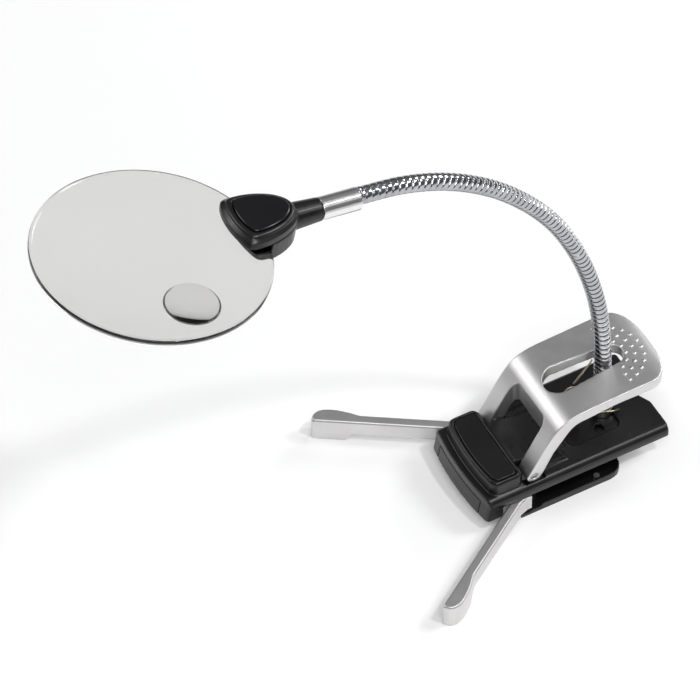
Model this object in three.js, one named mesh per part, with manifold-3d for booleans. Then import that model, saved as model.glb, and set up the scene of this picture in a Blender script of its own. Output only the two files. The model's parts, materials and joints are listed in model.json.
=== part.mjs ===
// Clamp-on magnifying lamp: a spring clamp with two folding feet, a flexible neck, a lamp head and a
// rimless round lens. Millimetres, +Z up, table at z = 0. The frame's origin lies on the underside of
// the lower jaw. +X runs along the clamp to the grip's end, and the lamp is symmetric about y = 0.
import * as THREE from 'three';
import { mergeVertices } from 'three/addons/utils/BufferGeometryUtils.js';
import Module from 'manifold-3d';

const wasm = await Module();
wasm.setup();

// ---------------------------------------------------------------- driving dimensions
const gap = 0.3;

const deckFront = -52.4;
const deckEnd = 41.8;
const deckHalf = 25.3;
const deckBottom = 13;
const deckTop = 19;
const shoulder = 3.6;
const frontBow = 2.2;
const skirtBottom = 6.2;
const skirtFlare = 1.5;
const skirtDepth = 9;

const blockFront = -49;
const blockBack = -31;
const blockHalf = 22.3;
const blockTop = 26;
const neckHalf = 13.1;
const apronHalf = 19;
const blockBow = 2;
const panelRecess = 1.2;

const bay = { half: 18.3, bottom: 7.1, top: 14.4, back: -37.6 };
const cell = { radius: 5.8, height: 5.4, x: -44.7, pitch: 11.8 };

const pin = { x: -26.1, z: 21.2, radius: 1.5 };
const legInner = 13.5;
const leverHalf = 22.3;
const leverTip = 45.2;
const tang = { inner: 14, outer: 18, back: -28, front: -22.4, foot: 2.1 };

const jawFront = 18.8;
const jawBack = -29.6;
const jawHalf = 25.6;
const jawWallTop = 3.7;
const jawFloor = 1.7;
const peg = { x: 5.8, y: 22.6 };
const prong = { end: -34.5, inner: 19.9, top: 1.6 };

const foot = { pivotX: -33, pivotY: 22.6, length: 72, openAngle: 33.3, top: 12.7, bottom: 4 };
foot.straight = 2.6;
foot.width = 5;
foot.padStart = 54;

// The neck's centreline, as [x, z] points, and where it is cut into lengths that bend.
const hose = { radius: 4, bore: 2.2, socketX: 20.9, sides: 16, cone: 12 };
hose.route = [
  [20.9, 22.4], [20.9, 46], [20, 68], [17, 93], [10.9, 119], [2.6, 142.5], [-8, 164.5],
  [-22.3, 185.5], [-40.2, 205], [-61.4, 220.8], [-82, 230.3], [-103.2, 235.4],
];
hose.cuts = [0.19, 0.352, 0.514, 0.676, 0.838];

const lens = { x: -203.3, z: 252.8, tilt: 10.7, roll: -1.8, radius: 52.3, edge: 2.4, crown: 2.6 };
const insert = { x: 3.1, y: -30.9, radius: 12.3, sag: 1.2 };

const head = { topLeft: 37, lowLeft: 41, half: 14.8, tip: 69.5, bottom: -7, split: 2.85, top: 6.6 };
const neckTube = { start: 64, end: 81.6, startRadius: 6.4, endRadius: 5.25, rise: 0.8 };
const ferruleEnd = 100.4;

// ---------------------------------------------------------------- colours
function material(color, roughness, metalness, opacity = 1) {
  return new THREE.MeshStandardMaterial({
    color, roughness, metalness, opacity, transparent: opacity < 1,
  });
}
const blackPlastic = material(0x1b1a1c, 0.42, 0);
const glossBlack = material(0x131316, 0.2, 0);
const silver = material(0xb4b0ac, 0.38, 0.9);
const chrome = material(0xd8dade, 0.12, 1);
const steel = material(0x9a9a9c, 0.3, 1);
const rubber = material(0x202022, 0.85, 0);
const acrylic = material(0xf2f6f6, 0.03, 0, 0.3);
const springWire = material(0xb9a583, 0.3, 1);
const boardGreen = material(0x1d4a32, 0.5, 0);
const cellSteel = material(0xc9c9c6, 0.25, 1);
const ledWhite = material(0xf6f4e6, 0.2, 0);
const brassTone = material(0xc8a860, 0.3, 1);

// ---------------------------------------------------------------- solid helpers
function solidOf(geometry) {
  const bare = (geometry.index ? geometry.toNonIndexed() : geometry).clone();
  bare.deleteAttribute('normal');
  bare.deleteAttribute('uv');
  const merged = mergeVertices(bare, 1e-4);
  return new wasm.Manifold(new wasm.Mesh({
    numProp: 3,
    vertProperties: new Float32Array(merged.attributes.position.array),
    triVerts: new Uint32Array(merged.index.array),
  }));
}

function geometryOf(solid) {
  const mesh = solid.getMesh();
  const geometry = new THREE.BufferGeometry();
  geometry.setAttribute('position', new THREE.BufferAttribute(mesh.vertProperties, 3));
  geometry.setIndex(new THREE.BufferAttribute(mesh.triVerts, 1));
  geometry.computeVertexNormals();
  return geometry;
}

function box(x0, x1, y0, y1, z0, z1) {
  const geometry = new THREE.BoxGeometry(x1 - x0, y1 - y0, z1 - z0);
  geometry.translate((x0 + x1) / 2, (y0 + y1) / 2, (z0 + z1) / 2);
  return solidOf(geometry);
}

// A plan outline, a list of [x, y] counter-clockwise, extruded from z0 to z1.
function prism(outline, z0, z1) {
  const shape = new THREE.Shape(outline.map(([x, y]) => new THREE.Vector2(x, y)));
  const geometry = new THREE.ExtrudeGeometry(shape, { depth: z1 - z0, bevelEnabled: false });
  geometry.translate(0, 0, z0);
  return solidOf(geometry);
}

// A side outline, a list of [x, z], extruded from y0 to y1.
function sidePrism(outline, y0, y1) {
  const shape = new THREE.Shape(outline.map(([x, z]) => new THREE.Vector2(x, z)));
  const geometry = new THREE.ExtrudeGeometry(shape, { depth: y1 - y0, bevelEnabled: false });
  geometry.rotateX(Math.PI / 2);
  geometry.translate(0, y1, 0);
  return solidOf(geometry);
}

// A cylinder or cone from z0 to z1 about the upright axis through (x, y).
function post(x, y, z0, z1, bottomRadius, topRadius = bottomRadius, sides = 24) {
  const geometry = new THREE.CylinderGeometry(topRadius, bottomRadius, z1 - z0, sides);
  geometry.rotateX(Math.PI / 2);
  geometry.translate(x, y, (z0 + z1) / 2);
  return solidOf(geometry);
}

// A cylinder along Y, from y0 to y1, about (x, z).
function crossRod(x, z, y0, y1, radius, sides = 24) {
  const geometry = new THREE.CylinderGeometry(radius, radius, y1 - y0, sides);
  geometry.translate(x, (y0 + y1) / 2, z);
  return solidOf(geometry);
}

// A closed surface through rings of [x, y, z] that all have the same number of points.
function loft(rings) {
  const count = rings[0].length;
  const positions = rings.flat(2);
  const faces = [];
  for (let k = 0; k + 1 < rings.length; k++) {
    for (let i = 0; i < count; i++) {
      const a = k * count + i;
      const b = k * count + ((i + 1) % count);
      faces.push(a, b, b + count, a, b + count, a + count);
    }
  }
  const flat = (ring) => ring.map(([x, y]) => new THREE.Vector2(x, y));
  const last = (rings.length - 1) * count;
  for (const [a, b, c] of THREE.ShapeUtils.triangulateShape(flat(rings[0]), [])) {
    faces.push(c, b, a);
  }
  for (const [a, b, c] of THREE.ShapeUtils.triangulateShape(flat(rings.at(-1)), [])) {
    faces.push(last + a, last + b, last + c);
  }
  const geometry = new THREE.BufferGeometry();
  geometry.setAttribute('position', new THREE.Float32BufferAttribute(positions, 3));
  geometry.setIndex(faces);
  return solidOf(geometry);
}

function atHeight(outline, z) {
  return outline.map(([x, y]) => [x, y, z]);
}

function arc(x, y, radius, startDegrees, endDegrees, steps = 6) {
  const points = [];
  for (let i = 0; i <= steps; i++) {
    const angle = THREE.MathUtils.degToRad(startDegrees + ((endDegrees - startDegrees) * i) / steps);
    points.push([x + radius * Math.cos(angle), y + radius * Math.sin(angle)]);
  }
  return points;
}

function roundedRectangle(x0, x1, y0, y1, radius, steps = 5) {
  return [
    ...arc(x1 - radius, y0 + radius, radius, -90, 0, steps),
    ...arc(x1 - radius, y1 - radius, radius, 0, 90, steps),
    ...arc(x0 + radius, y1 - radius, radius, 90, 180, steps),
    ...arc(x0 + radius, y0 + radius, radius, 180, 270, steps),
  ];
}

function mirrored(outline) {
  return outline.map(([x, y]) => [x, -y]).reverse();
}

// Half of an outline from the far tip round the +Y side, completed by its mirror image.
function bothSides(half) {
  const other = mirrored(half).filter(([, y]) => Math.abs(y) > 1e-6);
  return [...half, ...other];
}

const turned = (solid, degrees, x, y) => solid.translate([-x, -y, 0]).rotate([0, 0, degrees])
  .translate([x, y, 0]);

const root = new THREE.Group();

function part(name, solid, look, group = root) {
  const mesh = new THREE.Mesh(geometryOf(solid), look);
  mesh.name = name;
  group.add(mesh);
  return mesh;
}

// ---------------------------------------------------------------- clamp body
// Plan outline of the deck: bowed front edge, straight sides and a shallow notch in the end.
function deckOutline(half, front, bow, cornerRadius = 1.4) {
  const bowRadius = (half * half + bow * bow) / (2 * bow);
  const bowAngle = THREE.MathUtils.radToDeg(Math.asin((half - cornerRadius) / bowRadius));
  const notch = [[deckEnd - 0.3, 9], [deckEnd - 3, 3]];
  const upper = [
    ...notch.slice().reverse(),
    ...arc(deckEnd - cornerRadius, half - cornerRadius, cornerRadius, 0, 90, 4),
    [blockBack, half],
    ...arc(front + bow + cornerRadius, half - cornerRadius, cornerRadius, 90, 165, 3),
    ...arc(front + bowRadius, 0, bowRadius, 180 - bowAngle, 180, 6),
  ];
  return bothSides(upper);
}

function deckSolid() {
  const layers = [[deckBottom, 0], [15.6, 0], [17, 0.45], [18.1, 1.3], [18.8, 2.4], [deckTop, shoulder]];
  return loft(layers.map(([z, inset]) => {
    const outline = deckOutline(deckHalf, deckFront, frontBow);
    const squeeze = (deckHalf - inset) / deckHalf;
    return atHeight(outline.map(([x, y]) => [x, y * squeeze]), z);
  }));
}

// The deep front of the body leans out a little towards its lower edge.
function skirtSolid() {
  const outline = (flare, z) => atHeight(deckOutline(deckHalf - 0.3, deckFront - flare, frontBow), z);
  const whole = loft([outline(skirtFlare, skirtBottom), outline(0, deckTop - 3.4)]);
  return whole.intersect(box(-60, deckFront + skirtDepth, -30, 30, 0, 30));
}

// Plan outline of the raised block, its front edge bowed as the deck's is.
function blockOutline(inset) {
  const half = blockHalf - inset;
  const front = blockFront + inset;
  const back = blockBack - inset;
  const corner = 3.2 - inset * 0.4;
  const bowRadius = (half * half + blockBow * blockBow) / (2 * blockBow);
  const bowAngle = THREE.MathUtils.radToDeg(Math.asin((half - corner) / bowRadius));
  return bothSides([
    [back, 0],
    ...arc(back - corner, half - corner, corner, 0, 90, 5),
    ...arc(front + blockBow + corner, half - corner, corner, 90, 165, 5),
    ...arc(front + bowRadius, 0, bowRadius, 180 - bowAngle, 180, 6),
  ]);
}

// The raised T: two ears, a hollowed ramp between the lever's legs, and a low apron behind them.
function raisedBlock() {
  const ears = loft([
    atHeight(blockOutline(0), deckTop - 1),
    atHeight(blockOutline(0.5), 24.6),
    atHeight(blockOutline(1.3), blockTop - 0.2),
  ]);
  const ramp = [[-33, deckTop - 1], [-33, blockTop - 0.2], [-31, blockTop - 0.3]];
  for (let i = 1; i <= 8; i++) {
    const t = i / 8;
    ramp.push([-31 + 26 * t, deckTop + 0.25 + 6.4 * (1 - t) ** 2]);
  }
  ramp.push([-5, deckTop - 1]);
  const neck = sidePrism(ramp.reverse(), -neckHalf, neckHalf);
  const apron = sidePrism(
    [[-20.5, deckTop - 1], [-7.5, deckTop - 1], [-7.5, 19.4], [-13, 19.7], [-20.5, 20.6]],
    -apronHalf, apronHalf,
  );
  return ears.add(neck).add(apron);
}

function bayOutline(clearance) {
  const half = bay.half + clearance;
  const back = bay.back + clearance;
  const radius = 5.8;
  return [
    [-60, -half],
    ...arc(back - radius, -half + radius, radius, -90, 0, 5),
    ...arc(back - radius, half - radius, radius, 0, 90, 5),
    [-60, half],
  ];
}

function upperBody() {
  const bayShell = prism(bayOutline(1), skirtBottom, deckTop - 5)
    .intersect(box(deckFront + 1, 0, -30, 30, 0, 30));
  let solid = deckSolid().add(skirtSolid()).add(bayShell).add(raisedBlock());
  const cuts = [
    prism(bayOutline(0), bay.bottom, bay.top),
    box(-60, deckFront + 2.1, -bay.half, bay.half, 0, bay.top),
    // hollow of the block, closed above by the top panel
    prism(blockOutline(3.6), bay.top + 1, 40),
    prism(blockOutline(2.3), blockTop - panelRecess - 0.2, 40),
    // well for the return spring and the neck's socket
    prism(roundedRectangle(-2.5, 23.6, -13.8, 13.8, 3.5), 16.6, 40),
    // hollow under the deck, closed below by the deck cover
    box(-17.5, 37, -16, 16, deckBottom - 1, 15.1),
    crossRod(pin.x, pin.z, -30, 30, pin.radius + 0.08),
    post(hose.socketX, 0, 14, 20, 4.7),
    post(hose.socketX, 0, 16.6, 20, 5.8),
    post(-14, 0, 12, 17.2, 1.2, 1.2, 12),
    post(33.5, 0, 12, 17.2, 1.2, 1.2, 12),
    post(14.7, -8.6, 14, 20, 2.2),
    post(14.7, 8.6, 14, 20, 2.2),
  ];
  for (const side of [-1, 1]) {
    const low = (a, b) => [Math.min(side * a, side * b), Math.max(side * a, side * b)];
    const [y0, y1] = low(13.15, 22.8);
    const [t0, t1] = low(13.6, 18.4);
    cuts.push(box(-31, -20.7, y0, y1, 17, 24));
    cuts.push(box(-32.5, -20.7, t0, t1, 12, 20));
    cuts.push(post(foot.pivotX, side * foot.pivotY, 12, 17.6, 2.06));
  }
  for (const tool of cuts) solid = solid.subtract(tool);
  return solid;
}

function topPanel() {
  return loft([
    atHeight(blockOutline(2.6), blockTop - panelRecess),
    atHeight(blockOutline(2.6), blockTop - 0.3),
    atHeight(blockOutline(2.9), blockTop - 0.05),
  ]);
}

function deckCover() {
  let cover = prism(roundedRectangle(-17.2, 36.7, -15.7, 15.7, 2), deckBottom, deckBottom + 1.5);
  for (const [x, y] of [[-14, 0], [33.5, 0]]) {
    cover = cover.subtract(post(x, y, 10, 16, 1.3));
    cover = cover.subtract(post(x, y, 10, deckBottom + 0.9, 2.4));
  }
  return cover;
}

// Rubber strip with cross ribs on its working face.
function ribbedPad(x0, x1, half, backZ, faceZ) {
  const outward = Math.sign(faceZ - backZ);
  const baseZ = faceZ - outward * 0.6;
  let pad = prism(
    roundedRectangle(x0, x1, -half, half, 2, 3), Math.min(backZ, baseZ), Math.max(backZ, baseZ),
  );
  for (let x = x0 + 2.5; x < x1 - 2; x += 4) {
    const depth = [backZ, faceZ].sort((a, b) => a - b);
    pad = pad.add(box(x, x + 1.6, -half + 1.5, half - 1.5, ...depth));
  }
  return pad;
}

// Round-headed screw with a cross slot, its head at z0 and its tip at z1, either way up.
function screw(x, y, z0, z1, headRadius, shankRadius) {
  const way = Math.sign(z1 - z0);
  const headEnd = z0 + way * 0.85;
  const order = (a, b) => [Math.min(a, b), Math.max(a, b)];
  let solid = post(x, y, ...order(z0, headEnd), headRadius, headRadius, 16)
    .add(post(x, y, ...order(z0 + way * 0.4, z1), shankRadius, shankRadius, 12));
  const [s0, s1] = order(z0 - way * 0.2, z0 + way * 0.4);
  solid = solid.subtract(box(x - headRadius * 0.6, x + headRadius * 0.6, y - 0.2, y + 0.2, s0, s1));
  solid = solid.subtract(box(x - 0.2, x + 0.2, y - headRadius * 0.6, y + headRadius * 0.6, s0, s1));
  return solid;
}

function buildClampBody() {
  part('upper_body', upperBody(), blackPlastic);
  part('top_panel', topPanel(), blackPlastic);
  part('deck_cover', deckCover(), blackPlastic);
  part('deck_cover_screw_1', screw(-14, 0, deckBottom + 0.02, 16, 2.2, 1.1), steel);
  part('deck_cover_screw_2', screw(33.5, 0, deckBottom + 0.02, 16.5, 2.2, 1.1), steel);
  part('upper_jaw_pad', ribbedPad(-8, 30, 13.5, deckBottom - 0.05, 11.2), rubber);
}

// ---------------------------------------------------------------- battery drawer
function drawerSolid() {
  const inside = bayOutline(-gap);
  const z0 = bay.bottom + gap;
  const z1 = bay.top - gap;
  let tray = prism(inside, z0, 11.2).intersect(box(deckFront + 0.5, 0, -30, 30, 0, 30));
  const face = skirtSolid().intersect(prism(inside, skirtBottom, z1))
    .intersect(box(-60, deckFront + 1.9, -30, 30, 0, 30));
  tray = tray.add(face);
  for (const k of [-1, 0, 1]) {
    tray = tray.subtract(post(cell.x, k * cell.pitch, z0 + 0.8, 20, cell.radius + 0.25, undefined, 32));
  }
  // finger groove across the face
  return tray.subtract(box(-60, deckFront - 0.35, -17.4, 17.4, 9.4, 9.9));
}

function buildDrawer() {
  part('battery_drawer', drawerSolid(), blackPlastic);
  for (const k of [-1, 0, 1]) {
    const z0 = bay.bottom + gap + 0.85;
    const y = k * cell.pitch;
    const button = post(cell.x, y, z0, z0 + cell.height - 0.9, cell.radius, cell.radius, 28)
      .add(post(cell.x, y, z0 + 1, z0 + cell.height, cell.radius - 1.4, cell.radius - 1.4, 28));
    part(`button_cell_${k + 2}`, button, cellSteel);
  }
  for (const side of [-1, 1]) {
    const strip = box(-47, -41, Math.min(side * 2, side * 10), Math.max(side * 2, side * 10), 14, 14.3);
    part(side < 0 ? 'battery_contact_1' : 'battery_contact_2', strip, brassTone);
  }
}

// ---------------------------------------------------------------- lever and lower jaw
function gripOutline(inset) {
  const half = leverHalf - inset;
  const tip = leverTip - inset;
  const curve = new THREE.CubicBezierCurve(
    new THREE.Vector2(tip, 0), new THREE.Vector2(tip, half * 0.55),
    new THREE.Vector2(tip - 3.4, half * 0.98), new THREE.Vector2(tip - 11.5, half),
  );
  const half1 = curve.getPoints(10).map((p) => [p.x, p.y]);
  half1.push([-35, half]);
  return bothSides(half1);
}

function slotOutline(extra) {
  const left = { x: -1.4, r: 7.6 + extra };
  const right = { x: 25.6, r: 5.3 + extra };
  const lean = THREE.MathUtils.radToDeg(Math.asin((left.r - right.r) / (right.x - left.x)));
  return [
    ...arc(right.x, 0, right.r, -90 + lean, 90 - lean, 10),
    ...arc(left.x, 0, left.r, 90 - lean, 270 + lean, 14),
  ];
}

function leverSolid() {
  const side = [
    [-29.9, 21.2], [-29.5, 19.4], [-28.2, 17.9], [-26.1, 17.4], [-24, 17.9], [-22.6, 19.6],
    [-16.3, 32], [-9, 41.8], [-6.9, 43.9], [-4.4, 45.2], [16.6, 47.4], [28.5, 47], [41, 47],
    [leverTip, 48.4], [leverTip, 50.2], [43, 51.4], [38, 52.5], [25.8, 52.8], [12, 52.3], [2, 51.9],
    [-3.5, 51.5], [-8, 50.5], [-11.8, 48.7], [-14.9, 46.1], [-17.6, 42.6], [-20.4, 38.2], [-27.7, 25],
  ];
  let lever = sidePrism(side, -leverHalf, leverHalf).intersect(prism(gripOutline(0), 0, 70));
  lever = lever.subtract(prism(roundedRectangle(-60, -15.4, -legInner, legInner, 3), 0, 80));
  lever = lever.subtract(prism(slotOutline(0), 0, 80));
  const under = sidePrism(
    [[-3, 30], [46, 30], [46, 49.8], [36, 50.3], [25.8, 50.4], [12, 49.9], [-3, 49.3]], -30, 30,
  );
  const pocket = under.intersect(prism(gripOutline(2.6), 0, 70)).subtract(prism(slotOutline(2.2), 0, 70));
  lever = lever.subtract(pocket);
  for (const way of [-1, 1]) {
    const y = [way * tang.inner, way * tang.outer].sort((a, b) => a - b);
    lever = lever.add(box(tang.back, tang.front, ...y, tang.foot, 20));
    const screwY = (way * (tang.inner + tang.outer)) / 2;
    lever = lever.subtract(post(-25.2, screwY, 0, 9, 1.15, 1.15, 12));
  }
  return lever.subtract(crossRod(pin.x, pin.z, -30, 30, pin.radius + 0.05));
}

function jawOutline(inset) {
  return roundedRectangle(jawBack + inset, jawFront - inset, -jawHalf + inset, jawHalf - inset, 7 - inset);
}

function jawSolid() {
  let jaw = prism(
    [
      [jawBack + 6, -jawHalf], ...arc(jawFront - 7, -jawHalf + 7, 7, -90, 0),
      ...arc(jawFront - 7, jawHalf - 7, 7, 0, 90), [jawBack + 6, jawHalf],
      [jawBack, jawHalf], [jawBack, -jawHalf],
    ], 0, jawWallTop,
  );
  jaw = jaw.subtract(prism(jawOutline(1.2), jawFloor, 10));
  for (const way of [-1, 1]) {
    const y = [way * prong.inner, way * jawHalf].sort((a, b) => a - b);
    // the wall is low where it swings up beside the foot's knuckle
    const wall = [way * 18.6, way * 30].sort((a, b) => a - b);
    jaw = jaw.subtract(box(jawBack - 1, -24, ...wall, 2.3, 9));
    jaw = jaw.add(box(prong.end, jawBack + 1, ...y, 0, prong.top));
    const screwY = (way * (tang.inner + tang.outer)) / 2;
    jaw = jaw.subtract(post(-25.2, screwY, -1, 5, 1.2, 1.2, 12));
    jaw = jaw.subtract(post(-25.2, screwY, -1, 0.95, 2.3, 2.3, 16));
    jaw = jaw.subtract(post(peg.x, way * peg.y, 1.0, 5, 1.6, 1.6, 16));
  }
  return jaw;
}

// The spring's coil lies under the lever and its two arms open towards the grip.
const coil = { x: 7.8, z: 31, radius: 3.6, bore: 2.3, half: 7 };

function ring(x, z, y0, y1, outer, inner, sides = 20) {
  return crossRod(x, z, y0, y1, outer, sides).subtract(crossRod(x, z, y0 - 1, y1 + 1, inner, sides));
}

function wire(points, radius, sides = 8) {
  const curve = new THREE.CatmullRomCurve3(points.map((p) => new THREE.Vector3(...p)), false, 'centripetal');
  const section = new THREE.Shape(
    Array.from({ length: sides }, (_, i) => {
      const angle = (2 * Math.PI * i) / sides;
      return new THREE.Vector2(radius * Math.cos(angle), radius * Math.sin(angle));
    }),
  );
  return solidOf(new THREE.ExtrudeGeometry(section, { steps: points.length * 3, extrudePath: curve }));
}

function buildClampLever() {
  part('lever', leverSolid(), silver);
  part('hinge_pin', crossRod(pin.x, pin.z, -21.9, 21.9, pin.radius), steel);
  part('lower_jaw', jawSolid(), blackPlastic);
  part('lower_jaw_pad', ribbedPad(-17, 16, 13, jawFloor + 0.05, 3.3), rubber);
  for (const way of [-1, 1]) {
    const k = way < 0 ? 1 : 2;
    const screwY = (way * (tang.inner + tang.outer)) / 2;
    part(`jaw_screw_${k}`, screw(-25.2, screwY, 0.05, 8.4, 2.1, 0.95), steel);
    part(`foot_rest_peg_${k}`, post(peg.x, way * peg.y, 1.05, 3.4, 1.5, 1.4, 16), silver);
  }
}

function buildReturnSpring() {
  const low = ring(coil.x, coil.z, -coil.half, coil.half, coil.radius, coil.bore)
    .add(wire([[9, -6.6, 27.9], [15.5, -6.6, 24.4], [22.5, -6.6, 20.9], [26.4, -6.4, 20]], 0.6));
  part('spring_coil', low, springWire);
  const reach = [[11, 6.3, 34.4], [13.6, 6.3, 37.9], [16.4, 6.3, 41.7], [18.8, 6.3, 45]];
  part('spring_arm', wire(reach, 0.6), springWire);
}

// ---------------------------------------------------------------- folding feet
// Plan outline along +X from the pivot: the straight side lies at -Y and the paddle swells to +Y.
function footOutline(inset) {
  const s = -foot.straight + inset;
  const w = foot.width - foot.straight - inset;
  const tip = foot.length - inset;
  const swell = new THREE.CubicBezierCurve(
    new THREE.Vector2(tip, s + 1.4), new THREE.Vector2(tip - 0.3, w + 3.4),
    new THREE.Vector2(tip - 8, w + 4.2), new THREE.Vector2(foot.padStart - 4, w),
  );
  return [
    [0, s],
    ...arc(tip - 1.4, s + 1.4, 1.4, -90, -20, 3),
    ...swell.getPoints(9).map((p) => [p.x, p.y]),
    [4, w],
    ...arc(0, 0, 3.4 - inset, 70, 190, 8),
  ];
}

function footSolid() {
  const layers = [
    atHeight(footOutline(0), foot.bottom),
    atHeight(footOutline(0), foot.top - 0.9),
    atHeight(footOutline(0.7), foot.top),
  ];
  let solid = loft(layers);
  // the toe reaches down to the table past the end of the lower jaw
  const toeSide = [
    [foot.padStart, 9], [foot.padStart, 2.8], [foot.padStart + 2.6, 0], [80, 0], [80, 9],
  ];
  const toe = prism(footOutline(0), 0, foot.bottom + 1).intersect(sidePrism(toeSide, -9, 9));
  solid = solid.add(toe);
  // heel that stops against the body's side, squared to it when the foot is open
  const heel = turned(box(0, 4, -2.9, 2.4, foot.bottom, foot.top - 0.1), 180 - foot.openAngle, 0, 0);
  solid = solid.add(heel);
  solid = solid.subtract(post(0, 0, 0, 20, 2.08));
  return solid.subtract(post(0, 0, 0, 6.1, 3.1));
}

function pivotScrew(side) {
  const x = foot.pivotX;
  const y = side * foot.pivotY;
  let solid = post(x, y, 4.3, 5.9, 2.9).add(post(x, y, 5, 17.3, 2));
  solid = solid.subtract(box(x - 2.2, x + 2.2, y - 0.35, y + 0.35, 3, 4.9));
  return solid;
}

function buildFeet() {
  const openTurn = 180 + foot.openAngle;
  const near = footSolid().rotate([0, 0, openTurn]).translate([foot.pivotX, -foot.pivotY, 0]);
  const far = footSolid().mirror([0, 1, 0]).rotate([0, 0, -openTurn])
    .translate([foot.pivotX, foot.pivotY, 0]);
  part('foot_near', near, silver);
  part('foot_far', far, silver);
  part('foot_pivot_screw_near', pivotScrew(-1), steel);
  part('foot_pivot_screw_far', pivotScrew(1), steel);
}

// ---------------------------------------------------------------- flexible neck
const neckCurve = new THREE.CatmullRomCurve3(
  hose.route.map(([x, z]) => new THREE.Vector3(x, 0, z)), false, 'centripetal',
);

// One length of hollow neck between two fractions of the route, coned at each end that bends.
function neckLength(from, to, conedStart, conedEnd) {
  const total = neckCurve.getLength();
  const slope = Math.tan(THREE.MathUtils.degToRad(hose.cone));
  const ringAt = (distance, radius) => {
    const t = THREE.MathUtils.clamp(distance / total, 0, 1);
    const centre = neckCurve.getPointAt(t);
    const along = neckCurve.getTangentAt(t);
    const across = new THREE.Vector3(0, 1, 0);
    const up = new THREE.Vector3().crossVectors(along, across);
    return Array.from({ length: hose.sides }, (_, i) => {
      const angle = (2 * Math.PI * i) / hose.sides;
      return centre.clone().addScaledVector(across, radius * Math.cos(angle))
        .addScaledVector(up, radius * Math.sin(angle));
    });
  };
  const start = from * total;
  const end = to * total;
  const inset = (radius, coned) => (coned ? gap + radius * slope : gap / 2);
  const steps = 6;
  const rings = [];
  for (const radius of [hose.radius, hose.bore]) {
    const a = start + inset(radius, conedStart);
    const b = end - inset(radius, conedEnd);
    const run = Array.from({ length: steps + 1 }, (_, i) => ringAt(a + ((b - a) * i) / steps, radius));
    rings.push(...(radius === hose.radius ? run : run.reverse()));
  }
  const positions = rings.flat().flatMap((p) => [p.x, p.y, p.z]);
  const faces = [];
  const n = hose.sides;
  for (let k = 0; k < rings.length; k++) {
    const next = (k + 1) % rings.length;
    for (let i = 0; i < n; i++) {
      const j = (i + 1) % n;
      faces.push(k * n + i, k * n + j, next * n + j, k * n + i, next * n + j, next * n + i);
    }
  }
  const geometry = new THREE.BufferGeometry();
  geometry.setAttribute('position', new THREE.Float32BufferAttribute(positions, 3));
  geometry.setIndex(faces);
  return solidOf(geometry);
}

function buildNeck() {
  const socket = post(hose.socketX, 0, 16.75, 20.6, 5.4).add(post(hose.socketX, 0, 14.8, 21, 4.55))
    .add(post(hose.socketX, 0, 20, 22.1, 5, 4.6)).subtract(post(hose.socketX, 0, 10, 30, hose.bore));
  part('neck_socket', socket, steel);
  const cuts = [0, ...hose.cuts, 1];
  for (let k = 0; k + 1 < cuts.length; k++) {
    part(`neck_length_${k + 1}`, neckLength(cuts[k], cuts[k + 1], k > 0, k + 2 < cuts.length), chrome);
  }
}

// ---------------------------------------------------------------- lamp head and lens
// The head's group has its origin at the lens centre, x along the lens to the neck, z its axis.
const headGroup = new THREE.Group();
headGroup.position.set(lens.x, 0, lens.z);
headGroup.rotation.set(THREE.MathUtils.degToRad(lens.roll), THREE.MathUtils.degToRad(lens.tilt), 0);
root.add(headGroup);

// Rounded three-sided outline: a bowed side towards the lens and a nose towards the neck.
function headOutline(left, inset) {
  const half = head.half - inset;
  const start = left + inset;
  const nose = head.tip - inset;
  const v = (x, y) => new THREE.Vector2(x, y);
  const length = nose - start;
  const flank = new THREE.CubicBezierCurve(
    v(nose, 0), v(nose, half * 0.62), v(start + length * 0.56, half), v(start + length * 0.22, half),
  );
  const corner = new THREE.CubicBezierCurve(
    v(start + length * 0.22, half), v(start + length * 0.16, half),
    v(start + length * 0.12, half * 0.98), v(start + length * 0.09, half * 0.92),
  );
  const side = new THREE.CubicBezierCurve(
    v(start + length * 0.09, half * 0.92), v(start + length * 0.04, half * 0.74),
    v(start, half * 0.4), v(start, 0),
  );
  const points = [
    ...flank.getPoints(9), ...corner.getPoints(3).slice(1), ...side.getPoints(5).slice(1),
  ];
  return bothSides(points.map((p) => [p.x, p.y]));
}

function alongX(x0, x1, radius0, radius1, sides = 24, z = neckTube.rise) {
  const geometry = new THREE.CylinderGeometry(radius1, radius0, x1 - x0, sides);
  geometry.rotateZ(-Math.PI / 2);
  geometry.translate((x0 + x1) / 2, 0, z);
  return solidOf(geometry);
}

const headScrews = [[47, -9], [47, 9]];
const ledSpots = [[51, -6.2], [51, 6.2]];
const slotHalf = 2.85;

function headShell() {
  const low = head.lowLeft;
  let shell = loft([
    atHeight(headOutline(low, 1.1), head.bottom),
    atHeight(headOutline(low, 0), head.bottom + 1.4),
    atHeight(headOutline(low, 0), head.split),
  ]);
  const tube = alongX(neckTube.start - 6, neckTube.end - gap, neckTube.startRadius + 0.4, neckTube.endRadius);
  shell = shell.add(tube.intersect(box(40, 90, -9, 9, -20, 20)));
  // slot that takes the lens, and the space under the top cover
  shell = shell.subtract(post(0, 0, -slotHalf, slotHalf + 0.2, lens.radius + 0.5, undefined, 96));
  shell = shell.subtract(box(30, neckTube.start + 0.2, -20, 20, head.split, 20));
  shell = shell.subtract(prism(roundedRectangle(55, 63, -5, 5, 2), -4.6, head.split + 1));
  for (const [x, y] of headScrews) {
    shell = shell.subtract(post(x, y, -20, 5, 1.15, 1.15, 12));
    shell = shell.subtract(post(x, y, -20, head.bottom + 1.3, 2.3, 2.3, 16));
  }
  for (const [x, y] of ledSpots) shell = shell.subtract(post(x, y, -20, 0, 2.7, 2.7, 20));
  return shell;
}

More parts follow.
